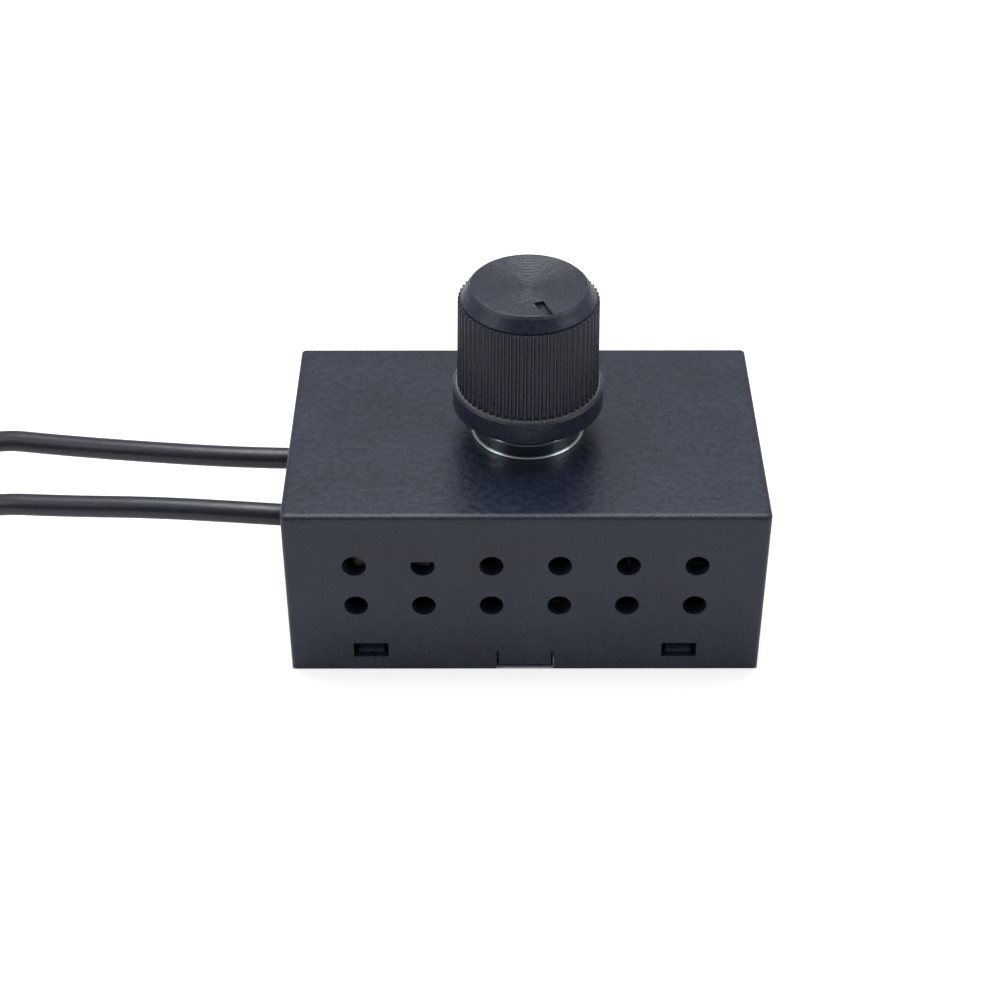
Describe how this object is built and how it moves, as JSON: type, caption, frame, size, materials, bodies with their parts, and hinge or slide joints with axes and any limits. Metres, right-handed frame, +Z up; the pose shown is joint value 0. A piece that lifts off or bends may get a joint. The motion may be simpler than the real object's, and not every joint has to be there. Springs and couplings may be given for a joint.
{
  "type": "rotary dimmer switch",
  "caption": "Small vented box dimmer with a fluted knob on a panel bushing, a snap-in floor and two free leads.",
  "frame": {"origin": "under the middle of the box, on the surface it stands on, leads left out", "axes": "+X along the box, away from the leads; +Y to the box's far long side; +Z up the knob"},
  "size_m": [0.1351, 0.037, 0.0388],
  "materials": {
    "case_plastic": "fine satin moulded, blue-black",
    "knob_plastic": "satin, turned rings on the top face",
    "bright_plate": "bright nickel plate",
    "bushing_metal": "nickel-plated brass",
    "zinc_sheet": "zinc-plated steel",
    "shaft_metal": "turned",
    "inner_plastic": "moulded",
    "laminate": "phenolic laminate",
    "tinned_metal": "tinned copper",
    "contact_brass": "rolled",
    "resistor_coat": "lacquered",
    "fuse_body": "glazed",
    "diac_glass": "glass bead",
    "tan_ceramic": "dipped coat",
    "capacitor_box": "moulded box",
    "ferrite": "sintered",
    "enamelled_wire": "enamelled copper",
    "sink_aluminium": "mill",
    "lead_insulation": "soft satin insulation",
    "tie_plastic": "flat tie"
  },
  "bodies": {
    "box": {"housing": "case_plastic", "base_plate": "case_plastic", "mounting_nut": "bright_plate", "mounting_washer": "bright_plate", "bushing": "bushing_metal", "pot_plate": "zinc_sheet", "pot_case": "inner_plastic", "pot_track": "laminate", "pot_terminals": "tinned_metal", "switch_case": "inner_plastic", "switch_leaf": "contact_brass", "switch_contact": "contact_brass", "circuit_board": "laminate", "resistors": "resistor_coat", "fuse": "fuse_body", "diac": "diac_glass", "ceramic_capacitor": "tan_ceramic", "film_capacitor": "capacitor_box", "choke_core": "ferrite", "choke_winding": "enamelled_wire", "heat_sink": "sink_aluminium", "heat_sink_screw": "zinc_sheet", "triac_frame": "tinned_metal", "triac_case": "inner_plastic", "lead_front_inner": "lead_insulation", "lead_rear_inner": "lead_insulation", "lead_front": "lead_insulation", "lead_rear": "lead_insulation", "lead_coil": "lead_insulation", "coil_tie": "tie_plastic", "lead_end_front": "tinned_metal", "lead_end_rear": "tinned_metal"},
    "knob": {"knob": "knob_plastic", "pot_shaft": "shaft_metal", "pot_wiper": "inner_plastic", "switch_cam": "inner_plastic"}
  },
  "joints": [
    {"name": "knob_turn", "type": "hinge", "parent": "box", "child": "knob", "pos_m": [0.0003, 0, 0.0246], "axis": [0, 0, 1], "range_deg": [-258.5, 41.5]}
  ]
}
